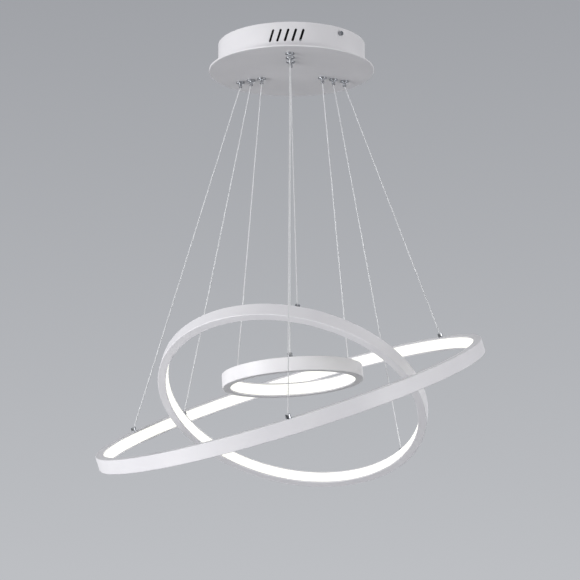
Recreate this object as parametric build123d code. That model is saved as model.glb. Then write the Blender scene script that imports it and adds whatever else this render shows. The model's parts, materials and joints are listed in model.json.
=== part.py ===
from build123d import *
from math import cos, degrees, pi, radians, sin, sqrt, tan
import os

os.makedirs("parts", exist_ok=True)

# A ceiling light: three thin light rings, each hung by three steel wires from a round canopy.
# The origin is the middle of the canopy's ceiling face. +Z is up, the front is -Y, +X is right.
# All sizes are in millimetres and all angles in degrees.

# ---- light rings: outer radius, depth of the ring's middle, sideways place, tilt ----
LARGE_RADIUS = 300.0
LARGE_DROP = 555.0
LARGE_SHIFT_X = -3.4
LARGE_SHIFT_Y = -2.7
LARGE_TILT = 21.1
LARGE_LEAN = -142.9          # compass direction towards which the ring's axis leans

MEDIUM_RADIUS = 204.0
MEDIUM_DROP = 553.4
MEDIUM_SHIFT_X = -0.6
MEDIUM_SHIFT_Y = 0.2
MEDIUM_TILT = 33.4
MEDIUM_LEAN = 71.7

SMALL_RADIUS = 106.0
SMALL_DROP = 519.2
SMALL_SHIFT_X = 0.5
SMALL_SHIFT_Y = -0.6
SMALL_TILT = 5.7
SMALL_LEAN = 135.9

# the three wires of a ring leave the canopy in these compass directions
SIDES = {"front": -90.0, "right": 30.0, "left": 150.0}
POWERED_SIDES = ("right", "left")

# ---- ring profile: a channel open towards the ring's middle ----
PROFILE_HEIGHT = 21.0
PROFILE_DEPTH = 12.0
PROFILE_WALL = 1.5
PROFILE_LIP_HEIGHT = 0.9
PROFILE_LIP_DEPTH = 1.0
PROFILE_CORNER = 0.7
SPLICE_DIRECTION = 90.0      # the butt joint of each ring is at the back
SPLICE_SLIT = 0.2
DIFFUSER_WALL = 1.1
DIFFUSER_GAP = 0.08
STRIP_WIDTH = 10.0
STRIP_THICKNESS = 0.4
STRIP_GLUE = 0.05
STRIP_END_GAP = 4.0          # bare arc on each side of the butt joint
CHIP_PITCH = 16.7
CHIP_LENGTH = 3.5
CHIP_WIDTH = 2.8
CHIP_HEIGHT = 0.8
SOLDER_LEAD_RADIUS = 0.5
SOLDER_LEAD_BEND = 1.5
SOLDER_LEAD_DROP = 3.3
SPLICE_PLATE_LENGTH = 50.0
SPLICE_PLATE_WIDTH = 6.3
SPLICE_PLATE_THICKNESS = 2.0
SPLICE_SCREW_SPACING = 30.0
SPLICE_SCREW_RADIUS = 1.5
SPLICE_HEAD_RADIUS = 2.8

# ---- ball fittings on the rings and the wires ----
FERRULE_RADIUS = 3.9
FERRULE_HEIGHT = 6.5
FERRULE_CHAMFER = 0.5
FERRULE_SLOT_GAP = 0.2       # on each side of the wire that leaves through the fork
FERRULE_SLOT_DEPTH = 3.7
FERRULE_ROOF = 0.4           # metal left above the ball socket
FERRULE_SCREW_HEAD_RADIUS = 3.4
FERRULE_SCREW_HEAD_HEIGHT = 2.2
BALL_RADIUS = 1.75
BALL_GAP = 0.25
WIRE_RADIUS = 0.85
WIRE_EXIT_GAP = 0.3
WIRE_EXIT_FLARE = 7.0        # half angle of the slot through which a wire leaves its ferrule
WIRE_EXIT_REACH = 7.0
WIRE_EXIT_START = 0.5        # above the ball's middle

# ---- canopy ----
CANOPY_HEIGHT = 42.5
PLATE_RADIUS = 128.0
PLATE_THICKNESS = 2.5
PLATE_EDGE = 1.2
DRUM_RADIUS = 114.0
DRUM_WALL = 1.0
DRUM_LIP_WIDTH = 9.0
DRUM_LIP_THICKNESS = 1.0
VENT_COUNT = 5
VENT_PITCH = 11.4
VENT_LENGTH = 20.5
VENT_WIDTH = 3.6
VENT_SLANT = 17.0
VENT_DIRECTION = -92.2
VENT_MIDDLE_DEPTH = 20.3
SIDE_SCREW_DIRECTION = -48.8
SIDE_SCREW_DEPTH = 10.0
SIDE_SCREW_RADIUS = 2.0
SIDE_SCREW_HEAD_RADIUS = 3.4
SIDE_SCREW_HEAD_HEIGHT = 5.0
SIDE_SCREW_TIP = 3.0
SCREW_DOME = 0.7
SCREW_SLOT_WIDTH = 0.9
SCREW_SLOT_DEPTH = 0.8
SCREW_HOLE_GAP = 0.3
BRACKET_WIDTH = 20.0
BRACKET_THICKNESS = 1.5
BRACKET_TAB_HEIGHT = 18.0
BRACKET_TAB_GAP = 0.3
CEILING_HOLE_CIRCLE = 70.0   # diameter through the two ceiling screw holes
CEILING_HOLE_RADIUS = 2.25

# ---- threaded studs on the canopy plate and their nuts ----
STUD_RADIUS = 2.0
STUD_DIRECTIONS = (0.0, 90.0, 180.0, 270.0)
NUT_FLATS = 7.0
NUT_HEIGHT = 3.2
STUD_TIP = 1.0
THREAD_GAP = 0.02

# ---- wire grippers ----
GRIPPER_RIM_GAP = 19.0       # from the drum's outside in to the large ring's grippers
GRIPPER_PITCH = 20.0         # from one ring's grippers in to the next ring's
GRIPPER_FLANGE_RADIUS = 6.8
GRIPPER_FLANGE_HEIGHT = 2.5
GRIPPER_FLANGE_CHAMFER = 0.6
GRIPPER_SHANK_RADIUS = 4.0
GRIPPER_SHANK_HEIGHT = 10.0
GRIPPER_HOLE_GAP = 0.1
GRIPPER_LIP_HEIGHT = 1.2
GRIPPER_CAP_HEIGHT = 1.6
GRIPPER_NUT_FLATS = 13.0
GRIPPER_NUT_HEIGHT = 4.0
GRIP_BALL_COUNT = 3
GRIP_BALL_RADIUS = 0.8
GRIP_BALL_HEIGHT = 4.2       # middle of the gripping balls above the plate's underside
GRIP_BALL_GAP = 0.02
GRIP_CONE_ANGLE = 12.0
SPRING_WALL = 0.5
SPRING_GAP = 0.1
PLUNGER_RADIUS = 2.75
PLUNGER_GAP = 0.08
PLUNGER_LENGTH = 7.0         # what shows below the gripper's flange
PLUNGER_TRAVEL = 2.0
PLUNGER_COLLAR_RADIUS = 3.2
PLUNGER_COLLAR_HEIGHT = 0.9
PLUNGER_NOSE_RADIUS = 1.6
PLUNGER_BORE_RADIUS = 1.0
PLUNGER_MOUTH_RADIUS = 2.3
PLUNGER_MOUTH_DEPTH = 3.6
WIRE_END_DEPTH = 2.0         # how far a wire reaches up into the plunger's mouth
WIRE_END_GAP = 0.8           # between the wire's hanging length and its clamped tail

# ---- driver and terminals inside the canopy ----
DRIVER_LENGTH = 118.0
DRIVER_HEIGHT = 25.0
DRIVER_WALL = 1.6
DRIVER_SHIFT_X = 6.0
DRIVER_FRONT_ROOM = 15.0     # from the front gripper's axis back to the driver
DRIVER_BACK_ROOM = 9.5       # from the driver back to the output block
DRIVER_EAR_LENGTH = 12.0
DRIVER_FLOOR = 2.0
DRIVER_RIM_HEIGHT = 3.0
DRIVER_RIM_GAP = 0.2
BOARD_THICKNESS = 1.6
BOARD_MARGIN = 1.0
BOARD_POST_HEIGHT = 3.0
BOARD_POST_RADIUS = 2.5
BOARD_POST_INSET = 5.0
COIL_LENGTH = 26.0
COIL_WIDTH = 24.0
COIL_HEIGHT = 14.0
CAPACITOR_RADIUS = 5.0
CAPACITOR_HEIGHT = 15.0
CAPACITOR_PLACE = 36.0
LEAD_RADIUS = 1.1
LEAD_HOLE_GAP = 0.15
LEAD_HEIGHT = 16.0           # height of every lead and tail above the canopy plate
LEAD_SPACING = 16.0
LEAD_SEAT = 5.0              # how far a lead or tail goes into its terminal
TAIL_BEND = 6.0
TAIL_STUB = 7.0
OUTPUT_BLOCK_LENGTH = 60.0
OUTPUT_BLOCK_MARGIN = 6.0
MAINS_BLOCK_LENGTH = 30.0
MAINS_BLOCK_WIDTH = 18.0
MAINS_BLOCK_GAP = 2.0        # between the driver's ear and the mains block
BLOCK_FOOT_LENGTH = 12.0
BLOCK_FOOT_HEIGHT = 2.5
BLOCK_FOOT_WIDTH = 12.0
MAINS_POLE_PITCH = 8.0
CLAMP_SCREW_RADIUS = 1.8
CLAMP_SCREW_HEIGHT = 3.0
CLAMP_SCREW_SINK = 0.6
CLAMP_SCREW_INSET = 4.0
CLAMP_SCREW_GAP = 0.3        # between a clamp screw's tip and the lead under it

# ---- places worked out from the sizes above ----
LARGE_GRIPPER_CIRCLE = DRUM_RADIUS - GRIPPER_RIM_GAP
MEDIUM_GRIPPER_CIRCLE = LARGE_GRIPPER_CIRCLE - GRIPPER_PITCH
SMALL_GRIPPER_CIRCLE = MEDIUM_GRIPPER_CIRCLE - GRIPPER_PITCH
PLATE_LOW = -CANOPY_HEIGHT
PLATE_TOP = PLATE_LOW + PLATE_THICKNESS
FLANGE_LOW = PLATE_LOW - GRIPPER_FLANGE_HEIGHT
MOUTH_LOW = FLANGE_LOW - PLUNGER_LENGTH
WIRE_TOP = MOUTH_LOW + WIRE_END_DEPTH
TAIL_LOW = WIRE_TOP + WIRE_END_GAP
SHANK_TOP = PLATE_LOW + GRIPPER_SHANK_HEIGHT
LEAD_Z = PLATE_TOP + LEAD_HEIGHT
BLOCK_TOP = LEAD_Z + LEAD_RADIUS + CLAMP_SCREW_GAP + CLAMP_SCREW_HEIGHT + CLAMP_SCREW_SINK
DRUM_INNER = DRUM_RADIUS - DRUM_WALL
STUD_CIRCLE = DRUM_INNER - DRUM_LIP_WIDTH / 2
TAB_OUTER = sqrt((DRUM_INNER - BRACKET_TAB_GAP) ** 2 - (BRACKET_WIDTH / 2) ** 2)
TAB_INNER = TAB_OUTER - BRACKET_THICKNESS
FERRULE_SLOT_WIDTH = 2 * (WIRE_RADIUS + FERRULE_SLOT_GAP)
SOCKET_RADIUS = BALL_RADIUS + BALL_GAP
SOCKET_DEPTH = SOCKET_RADIUS + FERRULE_ROOF
FERRULE_SCREW_RADIUS = SOCKET_RADIUS
DRIVER_FOOT_PLACE = (DRIVER_LENGTH + DRIVER_EAR_LENGTH) / 2
DRIVER_LEFT = DRIVER_SHIFT_X - DRIVER_LENGTH / 2
MAINS_BLOCK_PLACE = DRIVER_LEFT - DRIVER_EAR_LENGTH - MAINS_BLOCK_GAP - MAINS_BLOCK_WIDTH / 2
DRIVER_FRONT = DRIVER_FRONT_ROOM - SMALL_GRIPPER_CIRCLE
OUTPUT_BLOCK_FRONT = SMALL_GRIPPER_CIRCLE * sin(radians(SIDES["right"])) - OUTPUT_BLOCK_MARGIN
DRIVER_BACK = OUTPUT_BLOCK_FRONT - DRIVER_BACK_ROOM
DRIVER_WIDTH = DRIVER_BACK - DRIVER_FRONT
DRIVER_SHIFT_Y = (DRIVER_BACK + DRIVER_FRONT) / 2
FLANGE_INNER_TOP = PROFILE_HEIGHT / 2 - PROFILE_WALL
FULL_TURN = 360.0
UP = (Align.CENTER, Align.CENTER, Align.MIN)
DOWN = (Align.CENTER, Align.CENTER, Align.MAX)

RINGS = {
    "large": {
        "radius": LARGE_RADIUS,
        "circle": LARGE_GRIPPER_CIRCLE,
        "centre": (LARGE_SHIFT_X, LARGE_SHIFT_Y, -LARGE_DROP),
        "tilt": LARGE_TILT,
        "lean": LARGE_LEAN,
    },
    "medium": {
        "radius": MEDIUM_RADIUS,
        "circle": MEDIUM_GRIPPER_CIRCLE,
        "centre": (MEDIUM_SHIFT_X, MEDIUM_SHIFT_Y, -MEDIUM_DROP),
        "tilt": MEDIUM_TILT,
        "lean": MEDIUM_LEAN,
    },
    "small": {
        "radius": SMALL_RADIUS,
        "circle": SMALL_GRIPPER_CIRCLE,
        "centre": (SMALL_SHIFT_X, SMALL_SHIFT_Y, -SMALL_DROP),
        "tilt": SMALL_TILT,
        "lean": SMALL_LEAN,
    },
}


def save(name, shape):
    """Writes one sub-part, a solid or a group of solids, to its own file."""
    export_step(shape, f"parts/{name}.step")
    print(name, len(shape.solids()), "solids", round(shape.volume, 1), "mm3")


def group(shapes):
    """Several separate solids that share one file."""
    return Compound(children=[piece for shape in shapes for piece in shape.solids()])


def post(radius, low, high, x=0.0, y=0.0):
    """An upright round bar between two heights."""
    return Pos(x, y, low) * Cylinder(radius, high - low, align=UP)


def polar(radius, direction, z=0.0):
    """A point at a distance from the canopy's axis, in a compass direction."""
    return (radius * cos(radians(direction)), radius * sin(radians(direction)), z)


def ring_place(ring):
    """Where a ring hangs: its middle and its tilt."""
    lean = ring["lean"]
    return Pos(*ring["centre"]) * Rot(0, 0, lean) * Rot(0, ring["tilt"], 0) * Rot(0, 0, -lean)


def fitting_radius(ring):
    """Distance of the wire fittings from the ring's axis: the middle of its rim."""
    return ring["radius"] - PROFILE_DEPTH / 2


def ball_centre(ring, side):
    """Middle of the ball on a wire's lower end, in the canopy's frame."""
    height = PROFILE_HEIGHT / 2 + FERRULE_HEIGHT - SOCKET_DEPTH
    spot = Pos(*polar(fitting_radius(ring), SIDES[side], height))
    return (ring_place(ring) * spot).position


def wire_top(ring, side):
    """Upper end of a wire's hanging length, inside its plunger's mouth."""
    return Vector(*polar(ring["circle"], SIDES[side], WIRE_TOP))


def wire_frame(ring, side):
    """A plane at the ball whose normal points up along the wire."""
    low = ball_centre(ring, side)
    return Plane(origin=low, z_dir=wire_top(ring, side) - low)


def gripper_spots():
    """Axis of every wire gripper on the canopy plate."""
    return [polar(ring["circle"], SIDES[side]) for ring in RINGS.values() for side in SIDES]


def driver_studs():
    """Places of the studs that hold the driver and the two terminal blocks."""
    return [
        (DRIVER_SHIFT_X - DRIVER_FOOT_PLACE, DRIVER_SHIFT_Y),
        (DRIVER_SHIFT_X + DRIVER_FOOT_PLACE, DRIVER_SHIFT_Y),
        (0.0, output_block_back() + BLOCK_FOOT_LENGTH / 2),
        (MAINS_BLOCK_PLACE, DRIVER_SHIFT_Y - (MAINS_BLOCK_LENGTH + BLOCK_FOOT_LENGTH) / 2),
    ]


def output_rows():
    """The y places of the terminals: in line with the grippers of the powered wires."""
    return [ring["circle"] * sin(radians(SIDES["right"])) for ring in RINGS.values()]


def output_block_back():
    return max(output_rows()) + OUTPUT_BLOCK_MARGIN


def slotted_head(radius, height):
    """A screw head standing on z = 0, domed a little, with a driver slot."""
    head = chamfer(Cylinder(radius, height, align=UP).edges().group_by(Axis.Z)[-1], SCREW_DOME)
    slot = Pos(0, 0, height) * Box(3 * radius, SCREW_SLOT_WIDTH, SCREW_SLOT_DEPTH, align=DOWN)
    return head - slot


def hexagon(flats, height):
    """A hexagonal prism standing on z = 0."""
    return extrude(RegularPolygon(flats / 2, 6, major_radius=False), height)


def tube(radius, points, bend):
    """A round lead along straight runs joined by arcs, checked against its length."""
    path = FilletPolyline(*points, radius=bend) if len(points) > 2 else Line(*points)
    lead = sweep(Plane(origin=path @ 0, z_dir=path % 0) * Circle(radius), path)
    wanted = path.length * pi * radius**2
    if abs(lead.volume / wanted - 1) > 0.01:
        print("lead volume is off:", lead.volume, wanted)
    return lead


# ---- ceiling bracket, canopy and their screws ----
def side_directions():
    return (SIDE_SCREW_DIRECTION, SIDE_SCREW_DIRECTION + FULL_TURN / 2)


def ceiling_bracket():
    """Folded steel bar screwed to the ceiling; its tabs take the canopy's side screws."""
    bar = Box(2 * TAB_OUTER, BRACKET_WIDTH, BRACKET_THICKNESS, align=DOWN)
    for end in (-1, 1):
        tab = Box(BRACKET_THICKNESS, BRACKET_WIDTH, BRACKET_TAB_HEIGHT, align=DOWN)
        bar += Pos(end * (TAB_OUTER - BRACKET_THICKNESS / 2), 0, 0) * tab
        hole = Pos(end * CEILING_HOLE_CIRCLE / 2, 0, -BRACKET_THICKNESS)
        bar -= hole * Cylinder(CEILING_HOLE_RADIUS, BRACKET_THICKNESS, align=UP)
    thread = Rot(0, 90, 0) * Cylinder(SIDE_SCREW_RADIUS, 3 * TAB_OUTER)
    bar -= Pos(0, 0, -SIDE_SCREW_DEPTH) * thread
    return Rot(0, 0, SIDE_SCREW_DIRECTION) * bar


def vent_cutter():
    """One slanted, round-ended slot through the drum's wall."""
    slot = extrude(Rot(0, 0, -VENT_SLANT) * SlotOverall(VENT_LENGTH, VENT_WIDTH), 4 * DRUM_WALL)
    return Pos(DRUM_RADIUS - 3 * DRUM_WALL, 0, -VENT_MIDDLE_DEPTH) * Rot(0, 90, 0) * slot


def canopy_drum():
    """Spun steel wall of the canopy, with an inward lip that sits on the plate."""
    drum = post(DRUM_RADIUS, PLATE_TOP, 0)
    drum -= post(DRUM_INNER, PLATE_TOP + DRUM_LIP_THICKNESS, 0)
    drum -= post(DRUM_INNER - DRUM_LIP_WIDTH, PLATE_TOP, 0)
    step = degrees(VENT_PITCH / DRUM_RADIUS)
    for half in (0.0, FULL_TURN / 2):
        for count in range(VENT_COUNT):
            turn = VENT_DIRECTION + half + step * (count - (VENT_COUNT - 1) / 2)
            drum -= Rot(0, 0, turn) * vent_cutter()
    for turn in side_directions():
        hole = Rot(0, 90, 0) * Cylinder(SIDE_SCREW_RADIUS + SCREW_HOLE_GAP, 4 * DRUM_WALL)
        drum -= Rot(0, 0, turn) * Pos(DRUM_RADIUS, 0, -SIDE_SCREW_DEPTH) * hole
    for turn in STUD_DIRECTIONS:
        x, y, _ = polar(STUD_CIRCLE, turn)
        drum -= post(STUD_RADIUS + SCREW_HOLE_GAP, PLATE_TOP, PLATE_TOP + DRUM_LIP_THICKNESS, x, y)
    return drum


def canopy_side_screws():
    """The two visible screws that hold the drum to the bracket's tabs."""
    screws = []
    for turn in side_directions():
        screw = slotted_head(SIDE_SCREW_HEAD_RADIUS, SIDE_SCREW_HEAD_HEIGHT)
        length = DRUM_RADIUS - TAB_INNER + SIDE_SCREW_TIP
        screw += Cylinder(SIDE_SCREW_RADIUS - THREAD_GAP, length, align=DOWN)
        place = Rot(0, 0, turn) * Pos(DRUM_RADIUS, 0, -SIDE_SCREW_DEPTH) * Rot(0, 90, 0)
        screws.append(place * screw)
    return group(screws)


def plate_studs():
    """Height above the plate's top, and place, of each welded stud."""
    rim = [(DRUM_LIP_THICKNESS, polar(STUD_CIRCLE, turn)[:2]) for turn in STUD_DIRECTIONS]
    driver = [(DRIVER_FLOOR, spot) for spot in driver_studs()[:2]]
    blocks = [(BLOCK_FOOT_HEIGHT, spot) for spot in driver_studs()[2:]]
    return rim + driver + blocks


def canopy_plate():
    """Flat disc under the drum: nine gripper holes, with threaded studs welded to its top."""
    disc = post(PLATE_RADIUS, PLATE_LOW, PLATE_TOP)
    disc = fillet(disc.edges().group_by(Axis.Z)[0], PLATE_EDGE)
    for x, y, _ in gripper_spots():
        disc -= post(GRIPPER_SHANK_RADIUS + GRIPPER_HOLE_GAP, PLATE_LOW, PLATE_TOP, x, y)
    for seat, (x, y) in plate_studs():
        disc += post(STUD_RADIUS, PLATE_TOP, PLATE_TOP + seat + NUT_HEIGHT + STUD_TIP, x, y)
    return disc


def plate_nuts():
    """Identical nuts on the plate's studs: drum lip, driver ears and terminal feet."""
    nut = hexagon(NUT_FLATS, NUT_HEIGHT) - post(STUD_RADIUS + THREAD_GAP, 0, NUT_HEIGHT)
    return group([Pos(x, y, PLATE_TOP + seat) * nut for seat, (x, y) in plate_studs()])


# ---- wire grippers ----
def cone_radius(height):
    """Inner radius of the gripper's cone at a height above the plate's underside."""
    reach = WIRE_RADIUS + 2 * GRIP_BALL_GAP + GRIP_BALL_RADIUS
    at_balls = reach + (GRIP_BALL_RADIUS + GRIP_BALL_GAP) / cos(radians(GRIP_CONE_ANGLE))
    return at_balls + (height - GRIP_BALL_HEIGHT) * tan(radians(GRIP_CONE_ANGLE))


def collar_low():
    return -GRIPPER_FLANGE_HEIGHT + GRIPPER_LIP_HEIGHT


def nose_top():
    return GRIP_BALL_HEIGHT - GRIP_BALL_RADIUS - PLUNGER_TRAVEL - PLUNGER_GAP


def gripper_cavity():
    """The stepped hole through a gripper, with z = 0 at the plate's underside."""
    chamber_top = collar_low() + PLUNGER_COLLAR_HEIGHT + PLUNGER_TRAVEL + 2 * PLUNGER_GAP
    cone_top = GRIP_BALL_HEIGHT + GRIP_BALL_RADIUS
    cap_low = GRIPPER_SHANK_HEIGHT - GRIPPER_CAP_HEIGHT
    hole = post(PLUNGER_RADIUS + PLUNGER_GAP, -GRIPPER_FLANGE_HEIGHT, collar_low())
    hole += post(PLUNGER_COLLAR_RADIUS + PLUNGER_GAP, collar_low(), chamber_top)
    cone = Cone(cone_radius(chamber_top), cone_radius(cone_top), cone_top - chamber_top, align=UP)
    hole += Pos(0, 0, chamber_top) * cone
    hole += post(cone_radius(cone_top), cone_top, cap_low)
    hole += post(PLUNGER_BORE_RADIUS, cap_low, GRIPPER_SHANK_HEIGHT)
    return hole


def gripper_body():
    """Flanged, threaded gripper body, with z = 0 at the plate's underside."""
    flange = Cylinder(GRIPPER_FLANGE_RADIUS, GRIPPER_FLANGE_HEIGHT, align=DOWN)
    flange = chamfer(flange.edges().group_by(Axis.Z)[0], GRIPPER_FLANGE_CHAMFER)
    return flange + post(GRIPPER_SHANK_RADIUS, 0, GRIPPER_SHANK_HEIGHT) - gripper_cavity()


def at_grippers(shape):
    return group([Pos(x, y, PLATE_LOW) * shape for x, y, _ in gripper_spots()])


def gripper_nut():
    low = PLATE_THICKNESS
    bore = post(GRIPPER_SHANK_RADIUS + THREAD_GAP, low, low + GRIPPER_NUT_HEIGHT)
    return Pos(0, 0, low) * hexagon(GRIPPER_NUT_FLATS, GRIPPER_NUT_HEIGHT) - bore


def grip_balls():
    """Three balls wedged between a gripper's cone and its wire."""
    reach = WIRE_RADIUS + GRIP_BALL_GAP + GRIP_BALL_RADIUS
    ball = Sphere(GRIP_BALL_RADIUS)
    turns = [number * FULL_TURN / GRIP_BALL_COUNT for number in range(GRIP_BALL_COUNT)]
    return group([Pos(*polar(reach, turn, GRIP_BALL_HEIGHT)) * ball for turn in turns])


def grip_spring():
    """Spring that presses the balls into the cone, as a plain sleeve."""
    low = GRIP_BALL_HEIGHT + GRIP_BALL_RADIUS + GRIP_BALL_GAP
    high = GRIPPER_SHANK_HEIGHT - GRIPPER_CAP_HEIGHT
    outer = cone_radius(GRIP_BALL_HEIGHT + GRIP_BALL_RADIUS) - SPRING_GAP
    return post(outer, low, high) - post(outer - SPRING_WALL, low, high)


def plunger():
    """Release plunger: pressed up against the balls to let the wire slip."""
    low = -GRIPPER_FLANGE_HEIGHT - PLUNGER_LENGTH
    collar = collar_low() + PLUNGER_GAP
    shape = post(PLUNGER_RADIUS, low, collar)
    shape = chamfer(shape.edges().group_by(Axis.Z)[0], (PLUNGER_RADIUS - PLUNGER_MOUTH_RADIUS) / 2)
    shape += post(PLUNGER_COLLAR_RADIUS, collar, collar + PLUNGER_COLLAR_HEIGHT)
    shape += post(PLUNGER_NOSE_RADIUS, collar, nose_top())
    mouth = Cone(PLUNGER_MOUTH_RADIUS, PLUNGER_BORE_RADIUS, PLUNGER_MOUTH_DEPTH, align=UP)
    return shape - Pos(0, 0, low) * mouth - post(PLUNGER_BORE_RADIUS, low, nose_top())


# ---- driver, terminals and leads ----
def lead_rows():
    return (-LEAD_SPACING / 2, LEAD_SPACING / 2)


def mains_rows():
    return (DRIVER_SHIFT_Y - MAINS_POLE_PITCH, DRIVER_SHIFT_Y, DRIVER_SHIFT_Y + MAINS_POLE_PITCH)


def driver_base():
    """Floor of the driver's case, with ears for its studs and posts for the board."""
    base = Box(DRIVER_LENGTH + 2 * DRIVER_EAR_LENGTH, DRIVER_WIDTH, DRIVER_FLOOR, align=UP)
    inset = DRIVER_WALL + DRIVER_RIM_GAP
    rim = Box(DRIVER_LENGTH - 2 * inset, DRIVER_WIDTH - 2 * inset, DRIVER_RIM_HEIGHT, align=UP)
    inner = inset + DRIVER_WALL
    rim -= Box(DRIVER_LENGTH - 2 * inner, DRIVER_WIDTH - 2 * inner, DRIVER_RIM_HEIGHT, align=UP)
    base += Pos(0, 0, DRIVER_FLOOR) * rim
    for x, y in post_places():
        base += post(BOARD_POST_RADIUS, DRIVER_FLOOR, DRIVER_FLOOR + BOARD_POST_HEIGHT, x, y)
    for end in (-1, 1):
        base -= post(STUD_RADIUS + SCREW_HOLE_GAP, 0, DRIVER_FLOOR, end * DRIVER_FOOT_PLACE, 0)
    return Pos(DRIVER_SHIFT_X, DRIVER_SHIFT_Y, PLATE_TOP) * base


def board_size():
    inner = 2 * (2 * DRIVER_WALL + DRIVER_RIM_GAP + BOARD_MARGIN)
    return DRIVER_LENGTH - inner, DRIVER_WIDTH - inner


def post_places():
    length, width = board_size()
    x, y = length / 2 - BOARD_POST_INSET, width / 2 - BOARD_POST_INSET
    return [(-x, -y), (-x, y), (x, -y), (x, y)]


def driver_cover():
    """Five-sided cover of the driver, with holes where its leads come out."""
    height = DRIVER_HEIGHT - DRIVER_FLOOR
    cover = Box(DRIVER_LENGTH, DRIVER_WIDTH, height, align=UP)
    cover = chamfer(cover.edges().group_by(Axis.Z)[-1], DRIVER_WALL / 2)
    inner = (DRIVER_LENGTH - 2 * DRIVER_WALL, DRIVER_WIDTH - 2 * DRIVER_WALL)
    cover -= Box(*inner, height - DRIVER_WALL, align=UP)
    cover = Pos(DRIVER_SHIFT_X, DRIVER_SHIFT_Y, PLATE_TOP + DRIVER_FLOOR) * cover
    hole = Cylinder(LEAD_RADIUS + LEAD_HOLE_GAP, 4 * DRIVER_WALL)
    for x in lead_rows():
        cover -= Pos(x, DRIVER_BACK, LEAD_Z) * Rot(90, 0, 0) * hole
    for y in mains_rows()[::2]:
        cover -= Pos(DRIVER_LEFT, y, LEAD_Z) * Rot(0, 90, 0) * hole
    return cover


def driver_board():
    """Circuit board with its transformer and two capacitors."""
    length, width = board_size()
    board = Box(length, width, BOARD_THICKNESS, align=UP)
    board += Pos(0, 0, BOARD_THICKNESS) * Box(COIL_LENGTH, COIL_WIDTH, COIL_HEIGHT, align=UP)
    for end in (-1, 1):
        top = BOARD_THICKNESS + CAPACITOR_HEIGHT
        board += post(CAPACITOR_RADIUS, BOARD_THICKNESS, top, end * CAPACITOR_PLACE, 0)
    return Pos(DRIVER_SHIFT_X, DRIVER_SHIFT_Y, PLATE_TOP + DRIVER_FLOOR + BOARD_POST_HEIGHT) * board


def clamp_places():
    """Top places of the clamp screws: output block first, then the mains block."""
    side = OUTPUT_BLOCK_LENGTH / 2 - CLAMP_SCREW_INSET
    spots = [(end * side, y) for end in (-1, 1) for y in output_rows()]
    spots += [(x, OUTPUT_BLOCK_FRONT + CLAMP_SCREW_INSET) for x in lead_rows()]
    edge = MAINS_BLOCK_WIDTH / 2 - CLAMP_SCREW_INSET
    spots += [(MAINS_BLOCK_PLACE + end * edge, y) for end in (-1, 1) for y in mains_rows()]
    return spots


def drill(block, places):
    """Sinks a clamp screw's hole at each place of a terminal block."""
    low = BLOCK_TOP - CLAMP_SCREW_HEIGHT - CLAMP_SCREW_SINK
    for x, y in places:
        block -= post(CLAMP_SCREW_RADIUS + THREAD_GAP, low, BLOCK_TOP, x, y)
    return block


def output_terminal_block():
    """Joins the driver's two output leads to the six powered wires."""
    back = output_block_back()
    middle = (OUTPUT_BLOCK_FRONT + back) / 2
    block = Box(OUTPUT_BLOCK_LENGTH, back - OUTPUT_BLOCK_FRONT, BLOCK_TOP - PLATE_TOP, align=UP)
    forward = (Align.CENTER, Align.MIN, Align.MIN)
    foot = Box(BLOCK_FOOT_WIDTH, BLOCK_FOOT_LENGTH, BLOCK_FOOT_HEIGHT, align=forward)
    foot -= post(STUD_RADIUS + SCREW_HOLE_GAP, 0, BLOCK_FOOT_HEIGHT, 0, BLOCK_FOOT_LENGTH / 2)
    block = Pos(0, middle, PLATE_TOP) * block + Pos(0, back, PLATE_TOP) * foot
    port = Cylinder(WIRE_RADIUS + LEAD_HOLE_GAP, 2 * (LEAD_SEAT + LEAD_HOLE_GAP))
    for end in (-1, 1):
        for y in output_rows():
            block -= Pos(end * OUTPUT_BLOCK_LENGTH / 2, y, LEAD_Z) * Rot(0, 90, 0) * port
    port = Cylinder(LEAD_RADIUS + LEAD_HOLE_GAP, 2 * (LEAD_SEAT + LEAD_HOLE_GAP))
    for x in lead_rows():
        block -= Pos(x, OUTPUT_BLOCK_FRONT, LEAD_Z) * Rot(90, 0, 0) * port
    count = len(SIDES) * len(POWERED_SIDES) + len(lead_rows())
    return drill(block, clamp_places()[:count])


def mains_terminal_block():
    """Three-pole block for the house supply; its outer ports take the ceiling cable."""
    block = Box(MAINS_BLOCK_WIDTH, MAINS_BLOCK_LENGTH, BLOCK_TOP - PLATE_TOP, align=UP)
    foot = Box(BLOCK_FOOT_WIDTH, BLOCK_FOOT_LENGTH, BLOCK_FOOT_HEIGHT, align=UP)
    foot -= post(STUD_RADIUS + SCREW_HOLE_GAP, 0, BLOCK_FOOT_HEIGHT)
    block += Pos(0, -(MAINS_BLOCK_LENGTH + BLOCK_FOOT_LENGTH) / 2, 0) * foot
    block = Pos(MAINS_BLOCK_PLACE, DRIVER_SHIFT_Y, PLATE_TOP) * block
    port = Cylinder(LEAD_RADIUS + LEAD_HOLE_GAP, 2 * (LEAD_SEAT + LEAD_HOLE_GAP))
    for end in (-1, 1):
        for y in mains_rows():
            x = MAINS_BLOCK_PLACE + end * MAINS_BLOCK_WIDTH / 2
            block -= Pos(x, y, LEAD_Z) * Rot(0, 90, 0) * port
    count = len(SIDES) * len(POWERED_SIDES) + len(lead_rows())
    return drill(block, clamp_places()[count:])


def terminal_screws():
    """Slotted clamp screws sunk in the tops of both terminal blocks."""
    screw = Cylinder(CLAMP_SCREW_RADIUS, CLAMP_SCREW_HEIGHT, align=DOWN)
    screw -= Box(3 * CLAMP_SCREW_RADIUS, SCREW_SLOT_WIDTH, SCREW_SLOT_DEPTH, align=DOWN)
    top = BLOCK_TOP - CLAMP_SCREW_SINK
    return group([Pos(x, y, top) * screw for x, y in clamp_places()])


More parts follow.
